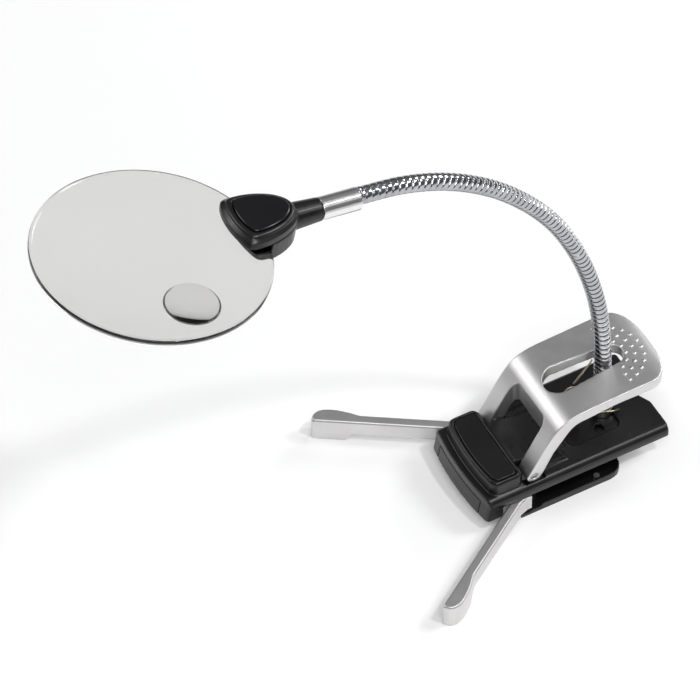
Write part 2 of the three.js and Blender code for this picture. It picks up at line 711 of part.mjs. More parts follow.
function headTop() {
  const rings = [[head.split + gap, 0], [head.top, 0], [8, 0.9], [9, 2.6], [9.1, 3.4]];
  let top = loft(rings.map(([z, inset]) => atHeight(headOutline(head.topLeft, inset), z)));
  top = top.subtract(alongX(neckTube.start - 0.6, 90, neckTube.startRadius + 0.6, neckTube.startRadius + 0.6));
  // seat of the power button, and the room under it for the circuit board
  top = top.subtract(prism(headOutline(head.topLeft, 4.0), 7.2, 20));
  top = top.subtract(prism(headOutline(head.topLeft + 6, 5.2), 0, 6.2));
  top = top.subtract(post(53, 0, 0, 20, 2.2, 2.2, 16));
  for (const [x, y] of headScrews) {
    top = top.add(post(x, y, head.split + gap, 7, 2.3, 2.3, 16));
    top = top.subtract(post(x, y, 0, 6, 0.95, 0.95, 12));
  }
  return top;
}

function powerButton() {
  const cap = loft([
    atHeight(headOutline(head.topLeft, 4.3), 8.3),
    atHeight(headOutline(head.topLeft, 4.3), 9.6),
    atHeight(headOutline(head.topLeft, 5.0), 10.0),
  ]);
  return cap.add(post(53, 0, 6.5, 9, 1.9, 1.9, 16));
}

// Disc with two domed faces, its edge plain.
function lensSolid() {
  const rise = lens.crown;
  const dome = (lens.radius ** 2 + rise ** 2) / (2 * rise);
  const face = (r) => lens.edge / 2 + Math.sqrt(dome ** 2 - r ** 2) - (dome - rise);
  const steps = 6;
  const profile = [new THREE.Vector2(0, -face(0))];
  for (let i = 1; i <= steps; i++) {
    const r = (lens.radius * i) / steps;
    profile.push(new THREE.Vector2(r, -face(r)));
  }
  for (let i = steps; i >= 1; i--) {
    const r = (lens.radius * i) / steps;
    profile.push(new THREE.Vector2(r, face(r)));
  }
  profile.push(new THREE.Vector2(0, face(0)));
  const geometry = new THREE.LatheGeometry(profile, 60);
  geometry.rotateX(Math.PI / 2);
  let solid = solidOf(geometry);
  for (const [x, y] of headScrews) solid = solid.subtract(post(x, y, -9, 9, 1.7, 1.7, 16));
  return solid;
}

// Small strong lens under the main one, with its back hollowed to the main lens's curve.
function insertSolid() {
  const rise = lens.crown;
  const dome = (lens.radius ** 2 + rise ** 2) / (2 * rise);
  const under = (x, y) => -(lens.edge / 2 + Math.sqrt(dome ** 2 - x * x - y * y) - (dome - rise));
  const steps = 3;
  const sides = 30;
  const ringAt = (fraction, drop) => Array.from({ length: sides }, (_, i) => {
    const angle = (2 * Math.PI * i) / sides;
    const x = insert.x + insert.radius * fraction * Math.cos(angle);
    const y = insert.y + insert.radius * fraction * Math.sin(angle);
    return [x, y, under(x, y) - drop];
  });
  const rings = [];
  for (let i = 1; i <= steps; i++) {
    const f = i / steps;
    rings.push(ringAt(f, 0.5 + insert.sag * (1 - f * f)));
  }
  for (let i = steps; i >= 1; i--) rings.push(ringAt(i / steps, 0.1));
  return loft(rings);
}

function buildHead() {
  part('head_shell', headShell(), blackPlastic, headGroup);
  part('head_top', headTop(), blackPlastic, headGroup);
  part('power_button', powerButton(), glossBlack, headGroup);
  const board = prism(headOutline(head.topLeft + 6, 5.6), 3.2, 4.2)
    .subtract(post(47, -9, 0, 9, 2.7)).subtract(post(47, 9, 0, 9, 2.7));
  part('circuit_board', board, boardGreen, headGroup);
  part('push_switch', box(50.5, 55.5, -2.5, 2.5, 4.25, 5.1).add(post(53, 0, 4.9, 5.5, 1.4)), blackPlastic,
    headGroup);
  ledSpots.forEach(([x, y], k) => {
    const led = post(x, y, -6.9, -3.4, 2.4, 2.4, 20).add(post(x, y, -7.7, -6.9, 1.7, 2.4, 20));
    part(`led_${k + 1}`, led, ledWhite, headGroup);
  });
  headScrews.forEach(([x, y], k) => {
    part(`head_screw_${k + 1}`, screw(x, y, head.bottom + 0.4, 5.8, 2.1, 0.9), steel, headGroup);
  });
  const ferrule = alongX(neckTube.end, ferruleEnd, neckTube.endRadius, neckTube.endRadius, 24, neckTube.rise);
  part('neck_ferrule', ferrule, silver, headGroup);
  part('main_lens', lensSolid(), acrylic, headGroup);
  part('close_up_lens', insertSolid(), acrylic, headGroup);
}

buildClampBody();
buildDrawer();
buildClampLever();
buildReturnSpring();
buildFeet();
buildNeck();
buildHead();

export default root;
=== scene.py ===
"""Clamp magnifying lamp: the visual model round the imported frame. Metres, +Z up, floor at z = 0.

Shapes are written in millimetres, as in the part's source, and turned into metres by MM.
"""
import json
import math

import bmesh
import bpy
import numpy as np
from mathutils import Matrix, Vector
from mathutils.bvhtree import BVHTree


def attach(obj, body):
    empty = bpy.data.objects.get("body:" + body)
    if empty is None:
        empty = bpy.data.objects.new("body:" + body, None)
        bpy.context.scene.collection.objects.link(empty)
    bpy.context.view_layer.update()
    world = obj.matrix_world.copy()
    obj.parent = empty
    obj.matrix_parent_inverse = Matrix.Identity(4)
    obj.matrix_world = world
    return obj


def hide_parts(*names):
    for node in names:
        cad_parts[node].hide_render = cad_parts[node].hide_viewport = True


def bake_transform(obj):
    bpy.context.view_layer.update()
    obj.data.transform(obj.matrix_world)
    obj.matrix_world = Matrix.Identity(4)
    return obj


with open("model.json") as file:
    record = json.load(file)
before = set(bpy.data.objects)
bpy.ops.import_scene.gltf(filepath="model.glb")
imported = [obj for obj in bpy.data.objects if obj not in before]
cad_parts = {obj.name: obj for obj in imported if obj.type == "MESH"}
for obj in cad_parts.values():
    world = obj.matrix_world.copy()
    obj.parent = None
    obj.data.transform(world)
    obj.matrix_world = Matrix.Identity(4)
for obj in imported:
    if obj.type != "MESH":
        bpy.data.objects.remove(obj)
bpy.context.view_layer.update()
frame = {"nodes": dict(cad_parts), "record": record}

MM = 0.001
scene = bpy.context.scene
scene.view_settings.view_transform = "Standard"

# ---------------------------------------------------------------- driving dimensions, millimetres
LEVER_HALF = 22.3
LEVER_TIP = 45.2
LEG_INNER = 13.5
WINDOW = {"x0": -60, "x1": -15.4, "corner": 4}
TANG = {"x0": -28, "x1": -22.4, "low": 2.1, "high": 20, "near": 14.0, "far": 18.0}
LEVER_RIM = 2.6
SLOT_RIM = 2.2
PIN = (-26.1, 21.2)
PIN_HOLE = 1.62
BUMP_CENTRE = 22.2
BUMP_HEIGHT = 0.66
NECK_RADIUS = 4.0
NECK_PITCH = 3.3
NECK_GROOVE = {"share": 0.15, "depth": 0.7, "crown": 0.1}
NECK_SIDES = 48
RINGS_PER_PITCH = 16
NECK_ROUTE = [
    (20.9, 22.4), (20.9, 46), (20, 68), (17, 93), (10.9, 119), (2.6, 142.5), (-8, 164.5),
    (-22.3, 185.5), (-40.2, 205), (-61.4, 220.8), (-82, 230.3), (-103.2, 235.4),
]
NECK_CUTS = [0.19, 0.352, 0.514, 0.676, 0.838]
BEND_ENDS = (0.06, 0.96)
LENS = {
    "x": -203.3, "z": 252.8, "tilt": 10.7, "roll": -1.8, "radius": 52.3, "edge": 2.4, "crown": 2.6,
    "chamfer": 0.35,
}
INSERT = {"x": 3.1, "y": -30.9, "radius": 12.3, "sag": 1.2}
HEAD = {"left": 37, "half": 14.8, "tip": 69.5, "split": 3.15}
HATCH = {"ribs": 13, "start": -19.6, "step": 0.8, "thick": 0.32, "slant": 1.68}
COIL = {"x": 7.8, "z": 31.0, "radius": 3.0, "half": 6.2, "turns": 8}
SPRING_WIRE = 0.45

# The camera stands this many metres off, looking along a steep line from the front left.
CAMERA = {"azimuth": 28.9, "elevation": 50.7, "distance": 4.18, "lens": 479.3}
AIM = Vector((-0.0657, 0.0759, 0.0284))


# ---------------------------------------------------------------- node materials
def new_material(name, **sockets):
    material = bpy.data.materials.new(name)
    material.use_nodes = True
    shader = material.node_tree.nodes["Principled BSDF"]
    for socket, value in sockets.items():
        shader.inputs[socket.replace("_", " ")].default_value = value
    return material


def add_node(material, kind, **values):
    node = material.node_tree.nodes.new(kind)
    for key, value in values.items():
        if key in node.inputs:
            node.inputs[key].default_value = value
        else:
            setattr(node, key, value)
    return node


def link(material, source, output, target, socket):
    material.node_tree.links.new(source.outputs[output], target.inputs[socket])


def noise(material, scale, stretch=(1, 1, 1), detail=3.0):
    """Noise in the row frame's coordinates, stretched along an axis by a factor under one."""
    place = add_node(material, "ShaderNodeTexCoord")
    mapping = add_node(material, "ShaderNodeMapping", Scale=stretch)
    texture = add_node(material, "ShaderNodeTexNoise", Scale=scale, Detail=detail)
    link(material, place, "Object", mapping, "Vector")
    link(material, mapping, "Vector", texture, "Vector")
    return texture


def vary(material, texture, socket, low, high):
    """Feeds a shader socket with the texture's value, brought between low and high."""
    shader = material.node_tree.nodes["Principled BSDF"]
    spread = add_node(material, "ShaderNodeMapRange")
    spread.inputs["From Min"].default_value = 0.3
    spread.inputs["From Max"].default_value = 0.7
    spread.inputs["To Min"].default_value = low
    spread.inputs["To Max"].default_value = high
    link(material, texture, "Fac", spread, "Value")
    link(material, spread, "Result", shader, socket)


def tint(material, texture, dark, light):
    shader = material.node_tree.nodes["Principled BSDF"]
    ramp = add_node(material, "ShaderNodeValToRGB")
    ramp.color_ramp.elements[0].position = 0.35
    ramp.color_ramp.elements[0].color = (*dark, 1)
    ramp.color_ramp.elements[1].position = 0.65
    ramp.color_ramp.elements[1].color = (*light, 1)
    link(material, texture, "Fac", ramp, "Fac")
    link(material, ramp, "Color", shader, "Base Color")


def grain(material, texture, strength, depth_mm):
    shader = material.node_tree.nodes["Principled BSDF"]
    bump = add_node(material, "ShaderNodeBump", Strength=strength, Distance=depth_mm * MM)
    link(material, texture, "Fac", bump, "Height")
    link(material, bump, "Normal", shader, "Normal")


def moulded_black():
    """Satin black plastic with a fine spark-eroded grain and faint dusting."""
    material = new_material("satin_black_plastic", Roughness=0.32)
    tint(material, noise(material, 40, detail=5), (0.004, 0.004, 0.0045), (0.007, 0.0068, 0.007))
    vary(material, noise(material, 260), "Roughness", 0.27, 0.36)
    grain(material, noise(material, 2600, detail=2), 0.25, 0.03)
    return material


def gloss_black():
    material = new_material("gloss_black_plastic", Roughness=0.16)
    tint(material, noise(material, 60), (0.004, 0.004, 0.005), (0.006, 0.006, 0.007))
    vary(material, noise(material, 180), "Roughness", 0.12, 0.2)
    grain(material, noise(material, 900), 0.08, 0.02)
    return material


def cast_silver():
    """Satin blasted metal with a very fine grain."""
    material = new_material("satin_cast_silver", Metallic=1.0, Roughness=0.4)
    tint(material, noise(material, 70, detail=4), (0.67, 0.66, 0.655), (0.71, 0.70, 0.70))
    vary(material, noise(material, 300), "Roughness", 0.38, 0.42)
    grain(material, noise(material, 3000, detail=2), 0.06, 0.012)
    return material


def turned_silver():
    material = new_material("turned_silver", Metallic=1.0, Roughness=0.25)
    rings = noise(material, 2400, stretch=(1, 0.02, 0.02))
    tint(material, rings, (0.78, 0.775, 0.77), (0.84, 0.84, 0.84))
    vary(material, rings, "Roughness", 0.2, 0.26)
    return material


def chrome():
    material = new_material("polished_chrome", Metallic=1.0, Roughness=0.09)
    tint(material, noise(material, 120), (0.40, 0.405, 0.42), (0.48, 0.485, 0.50))
    vary(material, noise(material, 400), "Roughness", 0.10, 0.15)
    return material


def bright_steel(name="bright_steel", dark=(0.42, 0.42, 0.43), light=(0.6, 0.6, 0.61)):
    material = new_material(name, Metallic=1.0, Roughness=0.28)
    tint(material, noise(material, 500), dark, light)
    vary(material, noise(material, 900), "Roughness", 0.2, 0.36)
    return material


def ribbed_rubber():
    material = new_material("black_rubber", Roughness=0.8)
    tint(material, noise(material, 200), (0.012, 0.012, 0.013), (0.025, 0.024, 0.024))
    grain(material, noise(material, 1800), 0.4, 0.05)
    return material


def clear_acrylic(name, dark, light):
    """Polished acrylic, faintly grey through its thickness."""
    material = new_material(name, Roughness=0.0, IOR=1.49)
    shader = material.node_tree.nodes["Principled BSDF"]
    shader.inputs["Transmission Weight"].default_value = 1.0
    tint(material, noise(material, 12), dark, light)
    return material


def board_lacquer():
    material = new_material("board_lacquer", Roughness=0.35)
    tint(material, noise(material, 300), (0.012, 0.06, 0.03), (0.02, 0.1, 0.05))
    return material


def led_resin():
    material = new_material("led_resin", Roughness=0.15)
    shader = material.node_tree.nodes["Principled BSDF"]
    shader.inputs["Subsurface Weight"].default_value = 0.3
    tint(material, noise(material, 300), (0.75, 0.75, 0.62), (0.88, 0.88, 0.8))
    return material


LOOKS = {
    "black_plastic": moulded_black(),
    "gloss_black": gloss_black(),
    "satin_silver": cast_silver(),
    "ferrule_silver": turned_silver(),
    "neck_chrome": chrome(),
    "screw_steel": bright_steel(),
    "spring_steel": bright_steel("spring_wire", (0.32, 0.27, 0.19), (0.62, 0.54, 0.40)),
    "pad_rubber": ribbed_rubber(),
    "cell_steel": bright_steel("cell_steel", (0.6, 0.6, 0.58), (0.75, 0.75, 0.73)),
    "contact_brass": bright_steel("contact_brass", (0.55, 0.40, 0.18), (0.75, 0.58, 0.30)),
    "board_green": board_lacquer(),
    "led_resin": led_resin(),
    "clear_acrylic": clear_acrylic("clear_acrylic", (0.775, 0.771, 0.760), (0.79, 0.786, 0.775)),
}
INSERT_LOOK = clear_acrylic("insert_acrylic", (0.94, 0.94, 0.93), (0.96, 0.96, 0.95))


# ---------------------------------------------------------------- mesh helpers
def new_object(name, mesh):
    obj = bpy.data.objects.new(name, mesh)
    scene.collection.objects.link(obj)
    return obj


def mesh_piece(name, points, faces):
    """A smooth-shaded mesh from points in millimetres."""
    mesh = bpy.data.meshes.new(name)
    mesh.from_pydata([tuple(c * MM for c in p) for p in points], [], faces)
    mesh.validate()
    mesh.polygons.foreach_set("use_smooth", [True] * len(mesh.polygons))
    return new_object(name, mesh)


def quad_rows(rows, count, base=0):
    """Quads between rows of count points that close on themselves."""
    faces = []
    for k in range(rows - 1):
        for i in range(count):
            j = (i + 1) % count
            a = base + k * count
            faces.append((a + i, a + j, a + count + j, a + count + i))
    return faces


def between_poles(rows, count):
    """Faces of a body with one point at each end and rows of count points between them."""
    last = rows * count + 1
    faces = [(0, 1 + (i + 1) % count, 1 + i) for i in range(count)]
    faces += quad_rows(rows, count, 1)
    faces += [(last - count + i, last - count + (i + 1) % count, last) for i in range(count)]
    return faces


def baked(obj):
    """Applies the object's modifiers."""
    graph = bpy.context.evaluated_depsgraph_get()
    graph.update()
    mesh = bpy.data.meshes.new_from_object(obj.evaluated_get(graph))
    obj.modifiers.clear()
    old = obj.data
    obj.data = mesh
    bpy.data.meshes.remove(old)
    return obj


def cleaned_copy(name, node):
    """A copy of a CAD node's mesh with its shared corners welded."""
    source = frame["nodes"][node]
    mesh = source.data.copy()
    mesh.materials.clear()
    obj = new_object(name, mesh)
    work = bmesh.new()
    work.from_mesh(mesh)
    bmesh.ops.remove_doubles(work, verts=work.verts, dist=1e-6)
    work.to_mesh(mesh)
    work.free()
    return obj


def softened(obj, voxel_mm, passes, factor=0.5):
    """Remeshes a closed solid finely and smooths it, which rolls its edges as a casting's are."""
    remesh = obj.modifiers.new("remesh", "REMESH")
    remesh.mode = "VOXEL"
    remesh.voxel_size = voxel_mm * MM
    remesh.use_smooth_shade = True
    smooth = obj.modifiers.new("smooth", "SMOOTH")
    smooth.factor = factor
    smooth.iterations = passes
    return baked(obj)


def join(obj, *others):
    """Adds the others' meshes to obj's own."""
    work = bmesh.new()
    work.from_mesh(obj.data)
    for other in others:
        work.from_mesh(other.data)
        bpy.data.objects.remove(other)
    work.to_mesh(obj.data)
    work.free()
    obj.data.polygons.foreach_set("use_smooth", [True] * len(obj.data.polygons))


def extruded(name, outline, low, high, along):
    """A closed solid: an outline drawn out along Y, as (x, z) points, or along Z, as (x, y)."""
    place = (lambda p, t: (p[0], t, p[1])) if along == "Y" else (lambda p, t: (p[0], p[1], t))
    count = len(outline)
    points = [place(p, low) for p in outline] + [place(p, high) for p in outline]
    faces = [tuple(range(count)), tuple(range(2 * count - 1, count - 1, -1))]
    for i in range(count):
        j = (i + 1) % count
        faces.append((i, i + count, j + count, j))
    obj = mesh_piece(name, points, faces)
    work = bmesh.new()
    work.from_mesh(obj.data)
    bmesh.ops.recalc_face_normals(work, faces=work.faces)
    work.to_mesh(obj.data)
    work.free()
    return obj


def combine(obj, tool, operation):
    """A boolean of the piece and a tool, which is then removed."""
    change = obj.modifiers.new("combine", "BOOLEAN")
    change.operation = operation
    change.solver = "EXACT"
    change.object = tool
    baked(obj)
    bpy.data.objects.remove(tool)


def arc(x, y, radius, start, end, steps=8):
    points = []
    for i in range(steps + 1):
        angle = math.radians(start + (end - start) * i / steps)
        points.append((x + radius * math.cos(angle), y + radius * math.sin(angle)))
    return points


def rounded_rectangle(x0, x1, y0, y1, radius, steps=8):
    return (
        arc(x1 - radius, y0 + radius, radius, -90, 0, steps)
        + arc(x1 - radius, y1 - radius, radius, 0, 90, steps)
        + arc(x0 + radius, y1 - radius, radius, 90, 180, steps)
        + arc(x0 + radius, y0 + radius, radius, 180, 270, steps)
    )


def bezier(a, b, c, d, steps):
    points = []
    for i in range(steps + 1):
        t = i / steps
        s = 1 - t
        weights = (s ** 3, 3 * s * s * t, 3 * s * t * t, t ** 3)
        points.append(tuple(sum(w * p[k] for w, p in zip(weights, (a, b, c, d))) for k in range(2)))
    return points


def both_sides(half):
    """An outline's +Y half from its far tip round, completed by its mirror image."""
    return half + [(x, -y) for x, y in reversed(half) if abs(y) > 1e-6]


def catmull_rom(points, steps):
    """A centripetal curve through the points, with steps places in each stretch."""
    pts = [np.array(p, float) for p in points]
    pts = [2 * pts[0] - pts[1]] + pts + [2 * pts[-1] - pts[-2]]
    curve = []
    for k in range(1, len(pts) - 2):
        p0, p1, p2, p3 = pts[k - 1:k + 3]
        d = [max(np.linalg.norm(b - a) ** 0.5, 1e-6) for a, b in ((p0, p1), (p1, p2), (p2, p3))]
        t1 = ((p1 - p0) / d[0] - (p2 - p0) / (d[0] + d[1]) + (p2 - p1) / d[1]) * d[1]
        t2 = ((p2 - p1) / d[1] - (p3 - p1) / (d[1] + d[2]) + (p3 - p2) / d[2]) * d[1]
        for i in range(steps):
            t = i / steps
            curve.append(
                p1 + t1 * t + (-3 * p1 + 3 * p2 - 2 * t1 - t2) * t ** 2
                + (2 * p1 - 2 * p2 + t1 + t2) * t ** 3
            )
    curve.append(pts[-2])
    return np.array(curve)


def finish_piece(obj, slot, body=None, nodes=(), look=None):
    """Gives a piece the look of its slot, puts it on its body and hides the CAD nodes that it
    stands for.
    """
    obj.data.materials.clear()
    obj.data.materials.append(look or LOOKS[slot])
    if body:
        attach(obj, body)
    if nodes:
        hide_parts(*nodes)


# ---------------------------------------------------------------- lever
def grip_outline(inset=0.0):
    """The lever's plan: straight sides and a rounded grip end."""
    half = LEVER_HALF - inset
    tip = LEVER_TIP - inset
    curve = bezier((tip, 0), (tip, half * 0.55), (tip - 3.4, half * 0.98), (tip - 11.5, half), 40)
    return both_sides(curve + [(-35, half)])


def slot_outline(extra=0.0):
    """The keyhole slot that the neck passes through, wider towards the hood."""
    left = (-1.4, 7.6 + extra)
    right = (25.6, 5.3 + extra)
    lean = math.degrees(math.asin((left[1] - right[1]) / (right[0] - left[0])))
    return (
        arc(right[0], 0, right[1], -90 + lean, 90 - lean, 32)
        + arc(left[0], 0, left[1], 90 - lean, 270 + lean, 40)
    )


def bump_places():
    """Three arcs round the slot's end, each given by its two half-widths, bumps and half-angle."""
    arcs = [(17.4, 16.8, 12, 80), (13.3, 13.0, 9, 78), (9.3, 9.3, 6, 66)]
    places = []
    for long_way, cross_way, count, spread in arcs:
        for i in range(count):
            angle = math.radians(-spread + 2 * spread * i / (count - 1))
            places.append((BUMP_CENTRE + long_way * math.cos(angle), cross_way * math.sin(angle)))
    return places


def lever_bumps(lever):
    """Small domes, each standing on the grip's surface."""
    surface = BVHTree.FromObject(lever, bpy.context.evaluated_depsgraph_get())
    profile = [(1.25, -0.25), (1.1, 0.02), (0.98, 0.2), (0.78, 0.42), (0.5, 0.58), (0.22, 0.65)]
    sides = 16
    points, faces = [], []
    for x, y in bump_places():
        base = len(points)
        top = surface.ray_cast(Vector((x, y, 80)) * MM, Vector((0, 0, -1)))[0].z / MM
        for radius, height in profile:
            for i in range(sides):
                a = 2 * math.pi * i / sides
                points.append((x + radius * math.cos(a), y + radius * math.sin(a), top + height))
        points.append((x, y, top + BUMP_HEIGHT))
        faces += quad_rows(len(profile), sides, base)
        at = base + (len(profile) - 1) * sides
        for i in range(sides):
            faces.append((at + i, at + (i + 1) % sides, len(points) - 1))
        faces.append(tuple(base + i for i in reversed(range(sides))))
    return mesh_piece("bumps", points, faces)


def lever_side():
    """The lever's side profile: the pin's eye, the leg, the bend and the grip, and back above."""
    side = [
        (-29.9, 21.2), (-29.5, 19.4), (-28.2, 17.9), (-26.1, 17.4), (-24, 17.9), (-22.6, 19.6),
        (-19.5, 25.7), (-16.3, 32), (-12.6, 37), (-9, 41.8), (-6.9, 43.9), (-4.4, 45.2), (2, 45.9),
        (16.6, 47.2), (28.5, 47), (41, 47.2), (44, 47.7), (45.2, 49.2), (44.7, 50.6), (43, 51.4),
        (38, 52.4), (31, 52.8), (25.8, 52.8), (12, 52.3), (2, 51.9), (-3.5, 51.5), (-8, 50.5),
        (-11.8, 48.7), (-14.9, 46.1), (-17.6, 42.6), (-20.4, 38.2), (-24, 31.7), (-27.7, 25),
        (-29.9, 21.2),
    ]
    return [tuple(p) for p in catmull_rom(side, 6)[:-1]]


def build_lever():
    lever = extruded("lever_casting", lever_side(), -LEVER_HALF, LEVER_HALF, "Y")
    combine(lever, extruded("plan", grip_outline(), 0, 70, "Z"), "INTERSECT")
    window = rounded_rectangle(WINDOW["x0"], WINDOW["x1"], -LEG_INNER, LEG_INNER, WINDOW["corner"])
    combine(lever, extruded("window", window, 0, 80, "Z"), "DIFFERENCE")
    combine(lever, extruded("slot", slot_outline(), 0, 80, "Z"), "DIFFERENCE")
    roof = [(-3, 30), (46, 30), (46, 49.8), (36, 50.3), (25.8, 50.4), (12, 49.9), (-3, 49.3)]
    pocket = extruded("pocket", roof, -30, 30, "Y")
    combine(pocket, extruded("inner", grip_outline(LEVER_RIM), 0, 70, "Z"), "INTERSECT")
    combine(pocket, extruded("collar", slot_outline(SLOT_RIM), 0, 70, "Z"), "DIFFERENCE")
    combine(lever, pocket, "DIFFERENCE")
    x0, x1, low, high = (TANG[key] for key in ("x0", "x1", "low", "high"))
    tang = [(x0, low), (x1, low), (x1, high), (x0, high)]
    for way in (-1, 1):
        y0, y1 = sorted((way * TANG["near"], way * TANG["far"]))
        combine(lever, extruded("tang", tang, y0, y1, "Y"), "UNION")
    hole = arc(PIN[0], PIN[1], PIN_HOLE, 0, 345, 23)
    combine(lever, extruded("pin_hole", hole, -30, 30, "Y"), "DIFFERENCE")
    softened(lever, 0.34, 6)
    join(lever, lever_bumps(lever))
    finish_piece(lever, "satin_silver", "lever_and_jaw", ["lever"])


# ---------------------------------------------------------------- neck
class Neck:
    """The neck's centreline by length along it, in millimetres."""

    def __init__(self):
        self.points = catmull_rom(NECK_ROUTE, 40)
        steps = np.linalg.norm(np.diff(self.points, axis=0), axis=1)
        self.along = np.concatenate([[0], np.cumsum(steps)])
        self.length = self.along[-1]

    def place(self, s):
        x, z = (np.interp(s, self.along, self.points[:, k]) for k in (0, 1))
        return np.array([x, 0.0, z])

    def tangent(self, s):
        low, high = max(s - 1, 0), min(s + 1, self.length)
        t = self.place(high) - self.place(low)
        return t / np.linalg.norm(t)


def ridge(phase):
    """The wound neck's radius at a phase of its pitch: a crowned band, then a narrow groove."""
    across = (phase % 1.0) / (1 - NECK_GROOVE["share"])
    if across >= 1:
        return NECK_RADIUS - NECK_GROOVE["depth"]
    return NECK_RADIUS - NECK_GROOVE["crown"] * (2 * across - 1) ** 2


def neck_stretch(name, neck, start, end):
    """One piece of the wound neck between two lengths along it."""
    sides = NECK_SIDES
    rings = max(2, int((end - start) / NECK_PITCH * RINGS_PER_PITCH))
    points = []
    for k in range(rings + 1):
        s = start + (end - start) * k / rings
        centre = neck.place(s)
        t = neck.tangent(s)
        across = np.array([0.0, 1.0, 0.0])
        up = np.cross(t, across)
        for i in range(sides):
            angle = 2 * math.pi * i / sides
            radius = ridge(s / NECK_PITCH + i / sides)
            points.append(centre + radius * (math.cos(angle) * across + math.sin(angle) * up))
    faces = []
    for k in range(rings):
        for i in range(sides):
            j = (i + 1) % sides
            a = k * sides
            faces.append((a + i, a + sides + i, a + sides + j, a + j))
    faces.append(tuple(range(sides)))
    faces.append(tuple(rings * sides + i for i in reversed(range(sides))))
    return mesh_piece(name, points, faces)


def build_neck():
    """Five pieces of the wound neck, each running across one joint from the middle of one length to
    the middle of the next; the end pieces run on to the neck's ends.
    """
    neck = Neck()
    cuts = [0.0] + NECK_CUTS + [1.0]
    middles = [(a + b) / 2 for a, b in zip(cuts, cuts[1:])]
    for k in range(5):
        start = 0.0 if k == 0 else middles[k]
        end = 1.0 if k == 4 else middles[k + 1]
        piece = neck_stretch(f"neck_winding_{k + 1}", neck, start * neck.length, end * neck.length)
        low = BEND_ENDS[0] if k == 0 else middles[k]
        high = BEND_ENDS[1] if k == 4 else middles[k + 1]
        bend = [tuple(neck.place(t * neck.length) * MM) for t in (low, high)]
        nodes = [f"neck_length_{k + 1}"] + (["neck_length_6"] if k == 4 else [])
        finish_piece(piece, "neck_chrome", nodes=nodes)
        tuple(bend[0])
        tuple(bend[1])
        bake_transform(piece)


# ---------------------------------------------------------------- head and lens
HEAD_PLACE = (
    Matrix.Translation((LENS["x"] * MM, 0, LENS["z"] * MM))
    @ Matrix.Rotation(math.radians(LENS["roll"]), 4, "X")
    @ Matrix.Rotation(math.radians(LENS["tilt"]), 4, "Y")
)


def in_head(obj):
    """Moves a piece drawn about the lens's centre to the head's place."""
    obj.data.transform(HEAD_PLACE)
    return obj


def lathe(name, profile, sides):
    """A closed body about Z from (radius, z) points that start and end on the axis."""
    points = [(0, 0, profile[0][1])]
    for radius, z in profile[1:-1]:
        for i in range(sides):
            a = 2 * math.pi * i / sides
            points.append((radius * math.cos(a), radius * math.sin(a), z))
    points.append((0, 0, profile[-1][1]))
    return mesh_piece(name, points, between_poles(len(profile) - 2, sides))


def dome_height(r):
    """The height of the lens's face over its middle plane, at a distance from its axis."""
    rise = LENS["crown"]
    ball = (LENS["radius"] ** 2 + rise ** 2) / (2 * rise)
    return LENS["edge"] / 2 + math.sqrt(ball ** 2 - r ** 2) - (ball - rise)


def build_lens():
    """The main lens, domed on both faces, with a narrow chamfer at each edge."""
    radius, chamfer = LENS["radius"], LENS["chamfer"]
    face = [i / 28 * (radius - chamfer) for i in range(29)]
    profile = [(r, -dome_height(r)) for r in face]
    rim = dome_height(radius) - chamfer
    profile += arc(radius - chamfer, -rim, chamfer, -75, -25, 2)
    profile += [(radius, -rim), (radius, rim)]
    profile += arc(radius - chamfer, rim, chamfer, 25, 75, 2)
    profile += [(r, dome_height(r)) for r in reversed(face)]
    lens = in_head(lathe("round_lens", profile, 192))
    finish_piece(lens, "clear_acrylic", "head", ["main_lens"])


def build_insert():
    """The close-up lens: a small dome under the main lens, a hair away from it."""
    sides, rings = 96, 12
    gap, edge = 0.1, 0.5
    fractions = [k / rings for k in range(1, rings + 1)]
    rows = [(f, edge + INSERT["sag"] * (1 - f * f)) for f in fractions]
    rows += [(f, gap) for f in reversed(fractions)]

    def place(fraction, angle, drop):
        x = INSERT["x"] + INSERT["radius"] * fraction * math.cos(angle)
        y = INSERT["y"] + INSERT["radius"] * fraction * math.sin(angle)
        return (x, y, -dome_height(math.hypot(x, y)) - drop)

    points = [place(0, 0, edge + INSERT["sag"])]
    for fraction, drop in rows:
        for i in range(sides):
            points.append(place(fraction, 2 * math.pi * i / sides, drop))
    points.append(place(0, 0, gap))
    lens = in_head(mesh_piece("close_up_insert", points, between_poles(len(rows), sides)))
    finish_piece(lens, "clear_acrylic", "head", ["close_up_lens"], INSERT_LOOK)


def head_outline(inset, steps=12):
    """The head's plan: a bowed side towards the lens, two corners and a nose towards the neck."""
    half = HEAD["half"] - inset
    start = HEAD["left"] + inset
    nose = HEAD["tip"] - inset
    length = nose - start
    flank = bezier(
        (nose, 0), (nose, half * 0.62),
        (start + length * 0.56, half), (start + length * 0.22, half), 2 * steps,
    )
    corner = bezier(
        (start + length * 0.22, half), (start + length * 0.16, half),
        (start + length * 0.12, half * 0.98), (start + length * 0.09, half * 0.92), steps,
    )
    side = bezier(
        (start + length * 0.09, half * 0.92), (start + length * 0.04, half * 0.74),
        (start, half * 0.4), (start, 0), steps,
    )
    return both_sides(flank + corner[1:] + side[1:])


def loft(name, rings):
    """A closed body through (inset, z) rings of the head's outline."""
    points = []
    for inset, z in rings:
        points += [(x, y, z) for x, y in head_outline(inset)]
    count = len(points) // len(rings)
    faces = quad_rows(len(rings), count)
    faces.append(tuple(reversed(range(count))))
    faces.append(tuple(range(len(points) - count, len(points))))
    return mesh_piece(name, points, faces)


def creased(obj, degrees):
    """Shades the piece smooth except across edges sharper than the angle."""
    work = bmesh.new()
    work.from_mesh(obj.data)
    for edge in work.edges:
        edge.smooth = edge.calc_face_angle(0) < math.radians(degrees)
    work.to_mesh(obj.data)
    work.free()
    return obj


